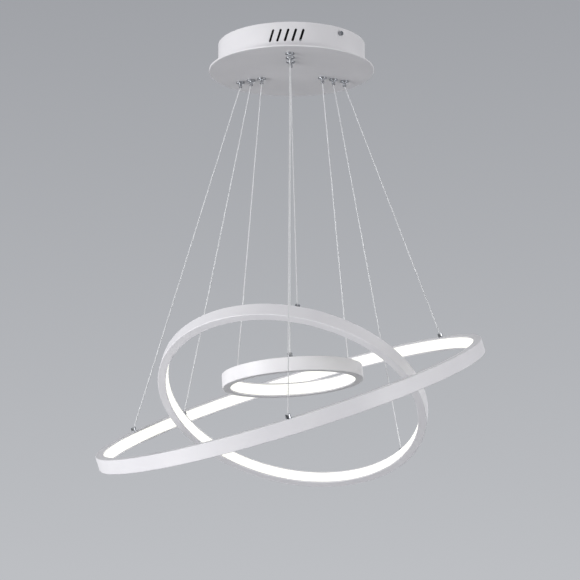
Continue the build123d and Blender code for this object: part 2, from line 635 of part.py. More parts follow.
def driver_leads():
    """Two output leads to the output block and two input leads to the mains block."""
    leads = []
    inside = 2 * DRIVER_WALL
    for x in lead_rows():
        ends = [(x, DRIVER_BACK - inside, LEAD_Z), (x, OUTPUT_BLOCK_FRONT + LEAD_SEAT, LEAD_Z)]
        leads.append(tube(LEAD_RADIUS, ends, 0))
    port = MAINS_BLOCK_PLACE + MAINS_BLOCK_WIDTH / 2 - LEAD_SEAT
    for y in mains_rows()[::2]:
        ends = [(port, y, LEAD_Z), (DRIVER_LEFT + inside, y, LEAD_Z)]
        leads.append(tube(LEAD_RADIUS, ends, 0))
    return group(leads)


def wire_tails():
    """The clamped upper lengths of the nine wires; the powered ones end in the output block."""
    tails = []
    for ring in RINGS.values():
        for side, turn in SIDES.items():
            x, y, _ = polar(ring["circle"], turn)
            if side in POWERED_SIDES:
                seat = OUTPUT_BLOCK_LENGTH / 2 - LEAD_SEAT
                port = (seat if x > 0 else -seat, y, LEAD_Z)
                tails.append(tube(WIRE_RADIUS, [(x, y, TAIL_LOW), (x, y, LEAD_Z), port], TAIL_BEND))
            else:
                tails.append(post(WIRE_RADIUS, TAIL_LOW, SHANK_TOP + TAIL_STUB, x, y))
    return group(tails)


# ---- rings ----
def ring_band(points, arc=FULL_TURN):
    """A closed section, given as (radius, height) points, turned about the ring's axis."""
    return revolve(Plane.XZ * make_face(Polyline(*points, close=True)), Axis.Z, arc)


def mirrored(points):
    """The points above the ring's middle plane, then the same below it in reverse."""
    return points + [(radius, -height) for radius, height in reversed(points)]


def splice_cutter(radius):
    """The saw cut of the butt joint."""
    slit = Box(2 * PROFILE_DEPTH, SPLICE_SLIT, 2 * PROFILE_HEIGHT)
    return Rot(0, 0, SPLICE_DIRECTION) * Pos(radius - PROFILE_DEPTH / 2, 0, 0) * slit


def splice_screw_turns(radius):
    half = degrees(SPLICE_SCREW_SPACING / 2 / (radius - PROFILE_DEPTH / 2))
    return (SPLICE_DIRECTION - half, SPLICE_DIRECTION + half)


def splice_radius(ring):
    """Middle of the splice plate, from the ring's axis."""
    return ring["radius"] - PROFILE_DEPTH / 2


def ring_profile(ring):
    """Aluminium channel bent to a ring: web outside, open inside, small lips at its mouth."""
    radius = ring["radius"]
    half = PROFILE_HEIGHT / 2
    inner = radius - PROFILE_DEPTH
    lip = half - PROFILE_WALL - PROFILE_LIP_HEIGHT
    corner = PROFILE_CORNER
    outline = mirrored([
        (radius, half - corner),
        (radius - corner, half),
        (inner + corner / 2, half),
        (inner, half - corner / 2),
        (inner, lip),
        (inner + PROFILE_LIP_DEPTH, lip),
        (inner + PROFILE_LIP_DEPTH, half - PROFILE_WALL),
        (radius - PROFILE_WALL, half - PROFILE_WALL),
    ])
    profile = ring_band(outline) - splice_cutter(radius)
    hole = post(FERRULE_SCREW_RADIUS + SCREW_HOLE_GAP, half - 2 * PROFILE_WALL, 2 * half)
    for turn in SIDES.values():
        profile -= Pos(*polar(fitting_radius(ring), turn)) * hole
    sink = Cone(SPLICE_HEAD_RADIUS, SPLICE_SCREW_RADIUS, PROFILE_WALL, align=UP)
    for turn in splice_screw_turns(radius):
        profile -= Pos(*polar(splice_radius(ring), turn, -half)) * sink
    return profile


def ring_diffuser(ring):
    """Opal strip behind the channel's lips, flush with their inner faces."""
    inner = ring["radius"] - PROFILE_DEPTH
    tall = FLANGE_INNER_TOP - DIFFUSER_GAP
    short = FLANGE_INNER_TOP - PROFILE_LIP_HEIGHT - DIFFUSER_GAP
    step = inner + PROFILE_LIP_DEPTH + DIFFUSER_GAP
    outline = mirrored([(inner, short), (step, short), (step, tall), (step + DIFFUSER_WALL, tall)])
    return ring_band(outline) - splice_cutter(ring["radius"])


def led_strip(ring):
    """Light strip behind the diffuser: flat facets round the web, a light chip on every other one."""
    back = ring["radius"] - PROFILE_WALL - STRIP_GLUE
    facet = degrees(CHIP_PITCH / 2 / back)
    room = FULL_TURN - 2 * degrees(STRIP_END_GAP / back)
    chips = int((room / facet - 1) / 2)
    first = SPLICE_DIRECTION + FULL_TURN / 2 - facet * (chips + 0.5)
    shrink = cos(radians(facet / 2))
    turns = [first + facet * number for number in range(2 * chips + 2)]
    outside = [polar(back, turn)[:2] for turn in turns]
    inside = [polar(back - STRIP_THICKNESS / shrink, turn)[:2] for turn in reversed(turns)]
    outline = make_face(Polyline(*outside, *inside, close=True))
    strip = Pos(0, 0, -STRIP_WIDTH / 2) * extrude(outline, STRIP_WIDTH)
    face = back * shrink - STRIP_THICKNESS
    middle = face + STRIP_THICKNESS / 2
    inward = (Align.MAX, Align.CENTER, Align.CENTER)
    chip = Box(CHIP_HEIGHT + middle - face, CHIP_LENGTH, CHIP_WIDTH, align=inward)
    spots = [turn + facet / 2 for turn in turns[1:-1:2]]
    pieces = [Rot(0, 0, turn) * Pos(middle, 0, 0) * chip for turn in spots]
    pieces += [Rot(0, 0, SIDES[side]) * solder_lead(ring, middle) for side in POWERED_SIDES]
    return strip.fuse(*pieces)


def solder_lead(ring, end):
    """Short lead from a powered fitting's screw to the light strip, drawn along +X."""
    start = fitting_radius(ring) + SOLDER_LEAD_RADIUS
    top = FLANGE_INNER_TOP - FERRULE_SCREW_HEAD_HEIGHT
    low = top - SOLDER_LEAD_DROP
    return tube(SOLDER_LEAD_RADIUS, [(start, 0, top), (start, 0, low), (end, 0, low)], SOLDER_LEAD_BEND)


def splice_plate(ring):
    """Curved plate inside the channel that bridges the butt joint."""
    middle = splice_radius(ring)
    low = -FLANGE_INNER_TOP
    high = low + SPLICE_PLATE_THICKNESS
    near, far = middle - SPLICE_PLATE_WIDTH / 2, middle + SPLICE_PLATE_WIDTH / 2
    corners = [(near, low), (far, low), (far, high), (near, high)]
    arc = degrees(SPLICE_PLATE_LENGTH / middle)
    plate = Rot(0, 0, SPLICE_DIRECTION - arc / 2) * ring_band(corners, arc)
    for turn in splice_screw_turns(ring["radius"]):
        x, y, _ = polar(middle, turn)
        plate -= post(SPLICE_SCREW_RADIUS, low, high, x, y)
    return plate


def splice_screws(ring):
    """Countersunk screws through the channel's underside into the splice plate."""
    low = -PROFILE_HEIGHT / 2
    screw = Cone(SPLICE_HEAD_RADIUS - THREAD_GAP, SPLICE_SCREW_RADIUS - THREAD_GAP, PROFILE_WALL, align=UP)
    screw += post(SPLICE_SCREW_RADIUS - THREAD_GAP, PROFILE_WALL, PROFILE_WALL + SPLICE_PLATE_THICKNESS)
    screw -= Box(3 * SPLICE_HEAD_RADIUS, SCREW_SLOT_WIDTH, SCREW_SLOT_DEPTH, align=UP)
    turns = splice_screw_turns(ring["radius"])
    return group([Pos(*polar(splice_radius(ring), turn, low)) * screw for turn in turns])


def ball_bore():
    """Threaded bore from the ferrule's foot, rounded at its top to seat the wire's ball."""
    seat = FERRULE_HEIGHT - SOCKET_DEPTH
    wall = Polyline((0, seat + SOCKET_RADIUS), (0, 0), (SOCKET_RADIUS, 0), (SOCKET_RADIUS, seat))
    crown = CenterArc((0, seat), SOCKET_RADIUS, 0, 90)
    return revolve(Plane.XZ * make_face(wall + crown), Axis.Z)


def wire_fittings(ring):
    """Three forked ferrules on the ring's top rim, each with a ball socket for its wire."""
    half = PROFILE_HEIGHT / 2
    body = Cylinder(FERRULE_RADIUS, FERRULE_HEIGHT, align=UP)
    body = chamfer(body.edges().group_by(Axis.Z)[-1], FERRULE_CHAMFER)
    fork = Box(3 * FERRULE_RADIUS, FERRULE_SLOT_WIDTH, FERRULE_HEIGHT, align=UP)
    body -= ball_bore() + Pos(0, 0, FERRULE_HEIGHT - FERRULE_SLOT_DEPTH) * fork
    ferrules = []
    for side, turn in SIDES.items():
        spot = Rot(0, 0, turn) * Pos(fitting_radius(ring), 0, half)
        ferrule = ring_place(ring) * spot * body
        start = WIRE_RADIUS + WIRE_EXIT_GAP
        flare = start + WIRE_EXIT_REACH * tan(radians(WIRE_EXIT_FLARE))
        way_out = Pos(0, 0, WIRE_EXIT_START) * Cone(start, flare, WIRE_EXIT_REACH, align=UP)
        ferrules.append(ferrule - wire_frame(ring, side).location * way_out)
    return group(ferrules)


def fitting_screws(ring):
    """Screws from inside the channel that hold the ferrules on the rim."""
    head_low = FLANGE_INNER_TOP - FERRULE_SCREW_HEAD_HEIGHT
    tip = PROFILE_HEIGHT / 2 + FERRULE_HEIGHT - SOCKET_DEPTH - SOCKET_RADIUS
    screw = post(FERRULE_SCREW_HEAD_RADIUS, head_low, FLANGE_INNER_TOP)
    screw += post(FERRULE_SCREW_RADIUS - THREAD_GAP, FLANGE_INNER_TOP, tip)
    return group([Pos(*polar(fitting_radius(ring), turn)) * screw for turn in SIDES.values()])


def hanging_wire(ring, side):
    """One wire from the ball in its ferrule up into its plunger's mouth."""
    frame = wire_frame(ring, side)
    length = (wire_top(ring, side) - frame.origin).length
    wire = Cylinder(WIRE_RADIUS, length, align=UP) + Sphere(BALL_RADIUS)
    return frame.location * wire


# ---- write every sub-part ----
save("ceiling_bracket", ceiling_bracket())
save("canopy_drum", canopy_drum())
save("canopy_plate", canopy_plate())
save("canopy_side_screws", canopy_side_screws())
save("plate_nuts", plate_nuts())
save("driver_base", driver_base())
save("driver_cover", driver_cover())
save("driver_board", driver_board())
save("output_terminal_block", output_terminal_block())
save("mains_terminal_block", mains_terminal_block())
save("terminal_screws", terminal_screws())
save("driver_leads", driver_leads())
save("wire_tails", wire_tails())
save("gripper_bodies", at_grippers(gripper_body()))
save("gripper_nuts", at_grippers(gripper_nut()))
save("gripper_balls", at_grippers(grip_balls()))
save("gripper_springs", at_grippers(grip_spring()))

for name, ring in RINGS.items():
    place = ring_place(ring)
    save(f"profile_{name}", place * ring_profile(ring))
    save(f"diffuser_{name}", place * ring_diffuser(ring))
    save(f"led_strip_{name}", place * led_strip(ring))
    save(f"splice_plate_{name}", place * splice_plate(ring))
    save(f"splice_screws_{name}", place * splice_screws(ring))
    save(f"fittings_{name}", wire_fittings(ring))
    save(f"fitting_screws_{name}", place * fitting_screws(ring))
    for side, turn in SIDES.items():
        save(f"wire_{name}_{side}", hanging_wire(ring, side))
        x, y, _ = polar(ring["circle"], turn)
        save(f"plunger_{name}_{side}", Pos(x, y, PLATE_LOW) * plunger())
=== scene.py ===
# %% [markdown]
# # A chandelier of three light rings
# Three thin rings of different size hang at different tilts from a round white canopy. Each ring is a
# bent aluminium channel, powder coated outside, with a strip of small lights behind an opal cover on
# its inner face. Three steel wires carry each ring. Each wire has a ball on its lower end, held in a
# small ferrule, and is gripped in the canopy by a sprung clamp whose plunger stands out below.
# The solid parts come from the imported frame. This script gives them their finishes, replaces the wires
# and the turned fittings by finer pieces, and sets up the light and the camera.

# %% Load the frame
import json
from math import cos, pi, radians, sin

import bmesh
import bpy
from mathutils import Matrix, Vector


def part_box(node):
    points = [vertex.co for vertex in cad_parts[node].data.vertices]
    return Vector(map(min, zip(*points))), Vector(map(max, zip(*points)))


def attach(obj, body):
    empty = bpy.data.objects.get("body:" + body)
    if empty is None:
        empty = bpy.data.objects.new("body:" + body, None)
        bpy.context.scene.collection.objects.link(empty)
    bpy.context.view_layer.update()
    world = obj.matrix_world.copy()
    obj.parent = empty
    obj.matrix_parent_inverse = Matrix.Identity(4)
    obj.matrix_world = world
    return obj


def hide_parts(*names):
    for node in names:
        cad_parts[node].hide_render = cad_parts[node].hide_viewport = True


MM = 0.001
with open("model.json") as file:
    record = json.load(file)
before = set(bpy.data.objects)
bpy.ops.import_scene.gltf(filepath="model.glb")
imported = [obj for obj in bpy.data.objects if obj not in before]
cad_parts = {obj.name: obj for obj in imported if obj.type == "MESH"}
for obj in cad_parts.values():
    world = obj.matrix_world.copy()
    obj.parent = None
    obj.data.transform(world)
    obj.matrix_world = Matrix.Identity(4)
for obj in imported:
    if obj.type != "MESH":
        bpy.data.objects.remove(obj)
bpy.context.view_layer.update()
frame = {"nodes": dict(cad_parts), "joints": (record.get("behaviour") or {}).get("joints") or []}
nodes = frame["nodes"]
joints = {joint["name"]: joint for joint in frame["joints"]}

# %% [markdown]
# ## The names used all through
# Every ring has the same set of parts, and each hangs from wires at the front, right and left. The
# same three numbers that place a ring in the CAD source, its middle, its tilt and the direction it
# leans to, are repeated here, because the pattern on a ring's cover has to run round that ring.

# %% Rings, sides and where each ring hangs
SIDES = ("front", "right", "left")
RINGS = {
    "large": {"radius": 300, "centre": (-3.4, -2.7, -555.0), "tilt": 21.1, "lean": -142.9},
    "medium": {"radius": 204, "centre": (-0.6, 0.2, -553.4), "tilt": 33.4, "lean": 71.7},
    "small": {"radius": 106, "centre": (0.5, -0.6, -519.2), "tilt": 5.7, "lean": 135.9},
}


def ring_matrix(ring):
    """Turns a point given on the flat, centred ring into one on the hanging ring, in metres."""
    lean, tilt = radians(ring["lean"]), radians(ring["tilt"])
    turn = Matrix.Rotation(lean, 4, "Z") @ Matrix.Rotation(tilt, 4, "Y") @ Matrix.Rotation(-lean, 4, "Z")
    return Matrix.Translation(Vector(ring["centre"]) * MM) @ turn


for name, ring in RINGS.items():
    print(name, "hangs at", [round(x, 3) for x in ring_matrix(ring).translation])

# %% [markdown]
# ## Colours and one small node function
# Colours are written as they look on a screen, in hexadecimal. Blender's shaders work in linear light,
# so one function converts them by the sRGB curve, a short straight part and then a power. A second
# function adds a node, sets it up and links its inputs, so that a material reads as a short list of
# steps.


# %% Colour conversion
STRAIGHT_UP_TO, SLOPE = 0.04045, 12.92
OFFSET, POWER = 0.055, 2.4


def linear(hex_colour):
    """A screen colour such as "E4E4EA" as linear red, green, blue and alpha."""
    channels = [int(hex_colour[i : i + 2], 16) / 255 for i in (0, 2, 4)]
    light = [
        c / SLOPE if c <= STRAIGHT_UP_TO else ((c + OFFSET) / (1 + OFFSET)) ** POWER for c in channels
    ]
    return light + [1.0]


print("mid grey is", round(linear("808080")[0], 3), "in linear light")


# %% Adding a node
def add(tree, kind, inputs=None, **settings):
    """Adds one node. inputs gives a socket's value, or another node's output to link to it."""
    made = tree.nodes.new(kind)
    for key, value in settings.items():
        setattr(made, key, value)
    for key, value in (inputs or {}).items():
        if isinstance(value, bpy.types.NodeSocket):
            tree.links.new(value, made.inputs[key])
        else:
            made.inputs[key].default_value = value
    return made


def new_material(name):
    """An empty material with its shader, its output and coordinates in metres."""
    material = bpy.data.materials.new(name)
    material.use_nodes = True
    tree = material.node_tree
    tree.nodes.clear()
    shader = add(tree, "ShaderNodeBsdfPrincipled")
    add(tree, "ShaderNodeOutputMaterial", {"Surface": shader.outputs["BSDF"]})
    place = add(tree, "ShaderNodeTexCoord").outputs["Object"]
    return material, tree, shader, place


print("helpers ready")


# %% [markdown]
# ## Patterns given by their real size
# A noise texture's scale counts patches per metre, so a patch of a given width in millimetres needs a
# scale of 1000 divided by that width. Three helpers cover what the finishes here need: a colour that
# drifts between two near shades, a roughness that drifts the same way, and a fine bump.


# %% Noise by patch width, drifting colour, roughness and bump
MM_PER_METRE = 1000
DRIFT_FROM, DRIFT_TO = 0.3, 0.7  # most of the noise lies between these


def patches(tree, place, width_mm, detail=2.0):
    """Soft noise whose patches are about width_mm wide."""
    scale = MM_PER_METRE / width_mm
    return add(tree, "ShaderNodeTexNoise", {"Vector": place, "Scale": scale, "Detail": detail}).outputs["Fac"]


def drift_colour(tree, shader, factor, dark, light):
    """The base colour wanders between two near shades."""
    ramp = add(tree, "ShaderNodeValToRGB", {"Fac": factor})
    first, last = ramp.color_ramp.elements
    first.position, last.position = DRIFT_FROM, DRIFT_TO
    first.color, last.color = linear(dark), linear(light)
    tree.links.new(ramp.outputs["Color"], shader.inputs["Base Color"])


def drift_roughness(tree, shader, factor, low, high):
    """The roughness wanders between two values."""
    spread = add(tree, "ShaderNodeMapRange", {"Value": factor, "To Min": low, "To Max": high})
    tree.links.new(spread.outputs["Result"], shader.inputs["Roughness"])


def relief(tree, shader, factor, height_mm):
    """A bump of a height in millimetres."""
    bump = add(tree, "ShaderNodeBump", {"Height": factor, "Distance": height_mm * MM, "Strength": 1.0})
    tree.links.new(bump.outputs["Normal"], shader.inputs["Normal"])


print("patterns ready")


# %% [markdown]
# ## White powder coat
# The rings and the canopy are coated with polyester powder that is blown on dry and melted in an oven.
# It flows to a satin skin with a very fine orange peel, waves about 1.5 mm apart. It reflects like any
# clear resin, so the IOR stays at 1.5, and the peel breaks the reflections up, which gives a roughness
# near 0.4. The coat on the canopy is a touch greyer than that on the rings.


# %% Powder-coat material
RESIN_IOR = 1.5
COAT_ROUGHNESS = (0.36, 0.46)
COAT_SHADE_MM, COAT_GLOSS_MM = 60, 12
PEEL_MM, PEEL_HEIGHT_MM = 1.5, 0.012


def powder_coat(name, dark, light):
    """Satin resin with an orange peel and a very slight drift in shade and gloss."""
    material, tree, shader, place = new_material(name)
    drift_colour(tree, shader, patches(tree, place, COAT_SHADE_MM), dark, light)
    drift_roughness(tree, shader, patches(tree, place, COAT_GLOSS_MM), *COAT_ROUGHNESS)
    relief(tree, shader, patches(tree, place, PEEL_MM, detail=1.0), PEEL_HEIGHT_MM)
    shader.inputs["IOR"].default_value = RESIN_IOR
    return material


coat_rings = powder_coat("powder_coated_aluminium_white", "E8E7EC", "EDECF0")
coat_canopy = powder_coat("powder_coated_steel_white", "E4E3E7", "E9E8EC")
print(coat_rings.name, coat_canopy.name)

# %% [markdown]
# ## The opal cover, lit from behind
# The cover is extruded opal silicone. The strip behind it has a light every 16.7 mm, and the opal
# spreads them until only a faint beat is left along the ring. The beat needs the distance round the
# ring: the point is first carried back onto the flat ring, and its angle times the radius is the
# distance. The light is a neutral white with a trace of warmth, as in the photograph.

# %% Distance round a ring
LIGHT_PITCH = 16.7
PROFILE_DEPTH = 12  # mm, from a ring's outer face to its inner one


def distance_round(tree, place, ring):
    """Millimetres along the ring's inner face, from the point's angle about the ring's axis."""
    matrix = ring_matrix(ring)
    flat = add(
        tree,
        "ShaderNodeMapping",
        {"Vector": place, "Location": matrix.translation, "Rotation": matrix.to_euler()},
        vector_type="TEXTURE",
    )
    split = add(tree, "ShaderNodeSeparateXYZ", {"Vector": flat.outputs["Vector"]})
    angle = add(tree, "ShaderNodeMath", {0: split.outputs["Y"], 1: split.outputs["X"]}, operation="ARCTAN2")
    radius = float(ring["radius"] - PROFILE_DEPTH)
    return add(tree, "ShaderNodeMath", {0: angle.outputs[0], 1: radius}, operation="MULTIPLY").outputs[0]


print("a light every", LIGHT_PITCH, "mm")


# %% Opal cover material
GLOW = 0.7
GLOW_DIM, GLOW_BRIGHT = "F4F0DC", "FFFFF2"
LEAST_BEAT = 0.94  # between two lights, as a share of the glow over one
OPAL_ROUGHNESS = (0.42, 0.52)
OPAL_SHADE_MM, OPAL_GLOSS_MM = 30, 8
SILICONE_IOR = 1.41


def opal_cover(ring_name):
    """Glowing opal silicone with a faint beat at the pitch of the lights."""
    material, tree, shader, place = new_material(f"extruded_opal_silicone_{ring_name}")
    along = distance_round(tree, place, RINGS[ring_name])
    phase = add(tree, "ShaderNodeMath", {0: along, 1: 2 * pi / LIGHT_PITCH}, operation="MULTIPLY")
    wave = add(tree, "ShaderNodeMath", {0: phase.outputs[0]}, operation="COSINE")
    beat = add(
        tree,
        "ShaderNodeMapRange",
        {"Value": wave.outputs[0], "From Min": -1.0, "From Max": 1.0, "To Min": LEAST_BEAT, "To Max": 1.0},
    )
    glow = add(tree, "ShaderNodeMix", data_type="RGBA")
    tree.links.new(beat.outputs["Result"], glow.inputs["Factor"])
    glow.inputs["A"].default_value = linear(GLOW_DIM)
    glow.inputs["B"].default_value = linear(GLOW_BRIGHT)
    tree.links.new(glow.outputs["Result"], shader.inputs["Emission Color"])
    shader.inputs["Emission Strength"].default_value = GLOW
    drift_colour(tree, shader, patches(tree, place, OPAL_SHADE_MM), "F2F2EC", "F7F7F2")
    drift_roughness(tree, shader, patches(tree, place, OPAL_GLOSS_MM), *OPAL_ROUGHNESS)
    shader.inputs["IOR"].default_value = SILICONE_IOR
    return material


covers = {name: opal_cover(name) for name in RINGS}
print([cover.name for cover in covers.values()])


# %% [markdown]
# ## Metals
# The grippers, ferrules and screws are brass with a polished chrome plate. Chrome reflects about 55 to
# 65 per cent of the light with a slight blue cast, and polishing leaves hair-fine marks. A mirror has no
# tone of its own and takes that of its surroundings. The surround here is pale, so the chrome is drawn
# darker than it is, at about 40 to 47 per cent, to stand out from it. The bracket, the plate's nuts and
# the hidden screws are steel with a bright zinc plate, duller and rougher, with the faint clouds that
# the plating bath leaves. Metals keep the default IOR.


# %% Polished chrome, zinc plate and bare metals
MARK_HEIGHT_MM = 0.002


def worked_metal(name, dark, light, rough, patch_mm, mark_mm):
    """Metal with cloudy patches and the fine marks of its finishing."""
    material, tree, shader, place = new_material(name)
    shader.inputs["Metallic"].default_value = 1.0
    drift_colour(tree, shader, patches(tree, place, patch_mm), dark, light)
    drift_roughness(tree, shader, patches(tree, place, mark_mm, detail=4.0), *rough)
    relief(tree, shader, patches(tree, place, mark_mm, detail=3.0), MARK_HEIGHT_MM)
    return material


chrome = worked_metal(
    "polished_chrome_plated_brass", "A9ABAF", "B7B9BD", rough=(0.06, 0.16), patch_mm=9, mark_mm=0.9
)
zinc = worked_metal(
    "bright_zinc_plated_steel", "A9ACB2", "BCBFC4", rough=(0.28, 0.42), patch_mm=4, mark_mm=1.2
)
mill = worked_metal("milled_aluminium", "B8B9BC", "C6C7CA", rough=(0.3, 0.42), patch_mm=12, mark_mm=1.0)
bright_steel = worked_metal(
    "hardened_bright_steel", "A2A3A8", "B2B3B8", rough=(0.14, 0.24), patch_mm=3, mark_mm=0.6
)
print(chrome.name, zinc.name, mill.name, bright_steel.name)


# %% [markdown]
# ## Stainless wire rope in a clear jacket
# The hanging wires also feed the strips, so they are thin stainless rope in a clear plastic jacket.
# Through the jacket the strands scatter more light than they mirror, so the steel shows as a pale grey
# and only a little of it is drawn as metal. The clear coat of the shader stands for the jacket and
# gives a soft gloss over the strands.


# %% Jacketed rope material
ROPE_ROUGHNESS = (0.45, 0.55)
ROPE_SHADE_MM, ROPE_GLOSS_MM = 2.5, 1.0
JACKET = {"Metallic": 0.15, "Coat Weight": 0.6, "Coat Roughness": 0.3, "Coat IOR": RESIN_IOR}


def jacketed_rope(name):
    """Pale steel strands under a clear coat."""
    material, tree, shader, place = new_material(name)
    drift_colour(tree, shader, patches(tree, place, ROPE_SHADE_MM), "D6D7DA", "E2E3E6")
    drift_roughness(tree, shader, patches(tree, place, ROPE_GLOSS_MM), *ROPE_ROUGHNESS)
    for socket, value in JACKET.items():
        shader.inputs[socket].default_value = value
    return material


rope = jacketed_rope("stainless_rope_clear_jacket")
print(rope.name)


# %% [markdown]
# ## Plastics inside the canopy
# The driver's case is moulded in ABS with a fine spark-eroded grain, the terminal blocks are glossy
# nylon, the circuit boards are glass-fibre laminate under white solder mask, and the leads have a soft
# black sheath. All have the IOR of plastics, near 1.5, like the resin of the powder coat.


# %% Moulded plastics and sheaths
PLASTIC_SHADE_MM, PLASTIC_GLOSS_MM = 25, 5


def moulded_plastic(name, dark, light, rough, grain_mm, height_mm):
    """Plastic with the grain of its mould, mask or die."""
    material, tree, shader, place = new_material(name)
    drift_colour(tree, shader, patches(tree, place, PLASTIC_SHADE_MM), dark, light)
    drift_roughness(tree, shader, patches(tree, place, PLASTIC_GLOSS_MM), *rough)
    relief(tree, shader, patches(tree, place, grain_mm, detail=1.0), height_mm)
    shader.inputs["IOR"].default_value = RESIN_IOR
    return material


case_abs = moulded_plastic(
    "spark_grained_abs_white", "DEDED9", "E6E6E2", rough=(0.46, 0.56), grain_mm=0.8, height_mm=0.02
)
nylon = moulded_plastic(
    "moulded_nylon_natural", "E7E6DE", "EFEEE7", rough=(0.2, 0.3), grain_mm=6, height_mm=0.01
)
mask = moulded_plastic(
    "white_solder_mask_laminate", "DFDFD8", "E8E8E2", rough=(0.25, 0.35), grain_mm=2, height_mm=0.006
)
sheath = moulded_plastic(
    "extruded_black_sheath", "1B1B1D", "242427", rough=(0.4, 0.5), grain_mm=3, height_mm=0.01
)
print(case_abs.name, nylon.name, mask.name, sheath.name)


# %% [markdown]
# ## Dress the solid parts
# Each solid from the frame gets the finish of its real counterpart. The lists below pair a finish with
# the parts that have it, and a check at the end prints any part that has been forgotten.


# %% Finishes of the solids
def dress(node_names, material):
    """Gives CAD parts one finish."""
    for node_name in node_names:
        mesh = nodes[node_name].data
        mesh.materials.clear()
        mesh.materials.append(material)


def of_each_ring(stem):
    """One part's name for each ring."""
    return [f"{stem}_{name}" for name in RINGS]


dress(["canopy_drum", "canopy_plate"], coat_canopy)
dress(of_each_ring("profile") + of_each_ring("splice_screws"), coat_rings)
dress(of_each_ring("fittings") + ["canopy_side_screws", "gripper_bodies", "gripper_nuts"], chrome)
dress(of_each_ring("fitting_screws"), zinc)
dress(["ceiling_bracket", "plate_nuts", "terminal_screws"], zinc)
dress(of_each_ring("splice_plate"), mill)
dress(["gripper_balls", "gripper_springs"], bright_steel)
dress(["driver_base", "driver_cover"], case_abs)
dress(["output_terminal_block", "mains_terminal_block"], nylon)
dress(of_each_ring("led_strip") + ["driver_board"], mask)
dress(["driver_leads"], sheath)
dress(["wire_tails"], rope)
for name in RINGS:
    dress([f"diffuser_{name}"], covers[name])
    dress([f"wire_{name}_{side}" for side in SIDES], rope)
    dress([f"plunger_{name}_{side}" for side in SIDES], chrome)
print("undressed:", [n for n, o in nodes.items() if not o.data.materials or o.data.materials[0] is None])

# %% [markdown]
# ## Stranded wires
# A hanging wire is a rope of six strands round a core, 1.7 mm thick, with a lay of about 12 mm: that is
# the length in which a strand goes once round. It could be a plain tube, but close up the twist is what
# makes a rope a rope. Here a six-lobed section is swept along the wire and turned as it goes. Its lower
# end is swaged into a small ball that sits in the ferrule, so the ball is turned on the same axis.

# %% Where a wire runs
END_DEPTH = 0.1  # mm, how deep the points of a wire's end face may lie


def wire_ends(ring_name, side):
    """The ball's middle, where the wire's joint is, and the wire's upper end."""
    low = Vector(joints[f"{ring_name}_{side}_wire_turn"]["pos_m"])
    points = [v.co for v in nodes[f"wire_{ring_name}_{side}"].data.vertices]
    reach = max((p - low).length for p in points)
    cap = [p for p in points if (p - low).length > reach - END_DEPTH * MM]
    return low, sum(cap, Vector()) / len(cap)


for name in RINGS:
    for side in SIDES:
        low, high = wire_ends(name, side)
        print(name, side, "wire", round((high - low).length * MM_PER_METRE, 1), "mm")


# %% One skin over a run of sections
WELD = 1e-7  # metres, points closer than this are one


def skin(name, bundles, material, capped, sharp_degrees=180.0):
    """One smooth mesh. A bundle is a run of closed sections that all have as many points."""
    build = bmesh.new()
    for sections in bundles:
        rows = [[build.verts.new(point) for point in section] for section in sections]
        size = len(rows[0])
        for low, high in zip(rows, rows[1:]):
            for i in range(size):
                j = (i + 1) % size
                build.faces.new((low[i], low[j], high[j], high[i]))
        if capped:
            build.faces.new(reversed(rows[0]))
            build.faces.new(rows[-1])
    bmesh.ops.remove_doubles(build, verts=build.verts, dist=WELD)
    bmesh.ops.recalc_face_normals(build, faces=build.faces)
    mesh = bpy.data.meshes.new(name)
    build.to_mesh(mesh)
    build.free()
    mesh.materials.append(material)
    mesh.shade_smooth()
    mesh.set_sharp_from_angle(angle=radians(sharp_degrees))
    piece = bpy.data.objects.new(name, mesh)
    bpy.context.scene.collection.objects.link(piece)
    return piece


print("skin ready")

# %% The ball and the twisted strands
WIRE_RADIUS = 0.85
GROOVE = 0.95  # the radius between two strands, as a share of the wire's
BALL_RADIUS = 1.75
BALL_STEPS = 10
SHOULDER = 1.25  # the ball stops where it is this many times as thick as the wire
SHOULDER_GAP = 0.05
LAY = 12.0
STRANDS = 6
STEP = 0.8  # mm along the wire from one section to the next


def lobes(height, crown, groove, turn=0.0):
    """Points round the wire's axis, two for each strand: its crown and the groove beside it."""
    points = []
    for i in range(2 * STRANDS):
        angle = turn + pi * i / STRANDS
        r = crown if i % 2 == 0 else groove
        points.append((r * cos(angle), r * sin(angle), height))
    return points


def ball_sections():
    """The ball from near its lowest point to the shoulder, where the strands begin."""
    sections = []
    for k in range(1, BALL_STEPS):
        angle = -pi / 2 + k * (pi / BALL_STEPS)
        z, r = BALL_RADIUS * sin(angle), BALL_RADIUS * cos(angle)
        if z > 0 and r < WIRE_RADIUS * SHOULDER:
            break
        sections.append(lobes(z, r, r))
    return sections


def strand_sections(length):
    """The twisted strands from the ball to the wire's upper end."""
    start = BALL_RADIUS + SHOULDER_GAP
    count = int((length - start) / STEP)
    heights = [start + (length - start) * k / count for k in range(count + 1)]
    return [lobes(z, WIRE_RADIUS, GROOVE * WIRE_RADIUS, turn=2 * pi * z / LAY) for z in heights]


print(len(ball_sections()), "sections in a ball")


# %% Build the nine wires
def stranded_wire(ring_name, side):
    """The ball and the strands, stood along the wire's own line."""
    low, high = wire_ends(ring_name, side)
    turn = (high - low).normalized().to_track_quat("Z", "Y").to_matrix()
    sections = ball_sections() + strand_sections((high - low).length / MM)
    placed = [[low + turn @ (Vector(p) * MM) for p in section] for section in sections]
    piece = skin(f"rope_{ring_name}_{side}", [placed], rope, capped=True)
    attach(piece, f"wire_{ring_name}_{side}")
    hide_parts(f"wire_{ring_name}_{side}")
    return piece


ropes = [stranded_wire(name, side) for name in RINGS for side in SIDES]
print(len(ropes), "ropes of", len(ropes[0].data.vertices), "points or so")

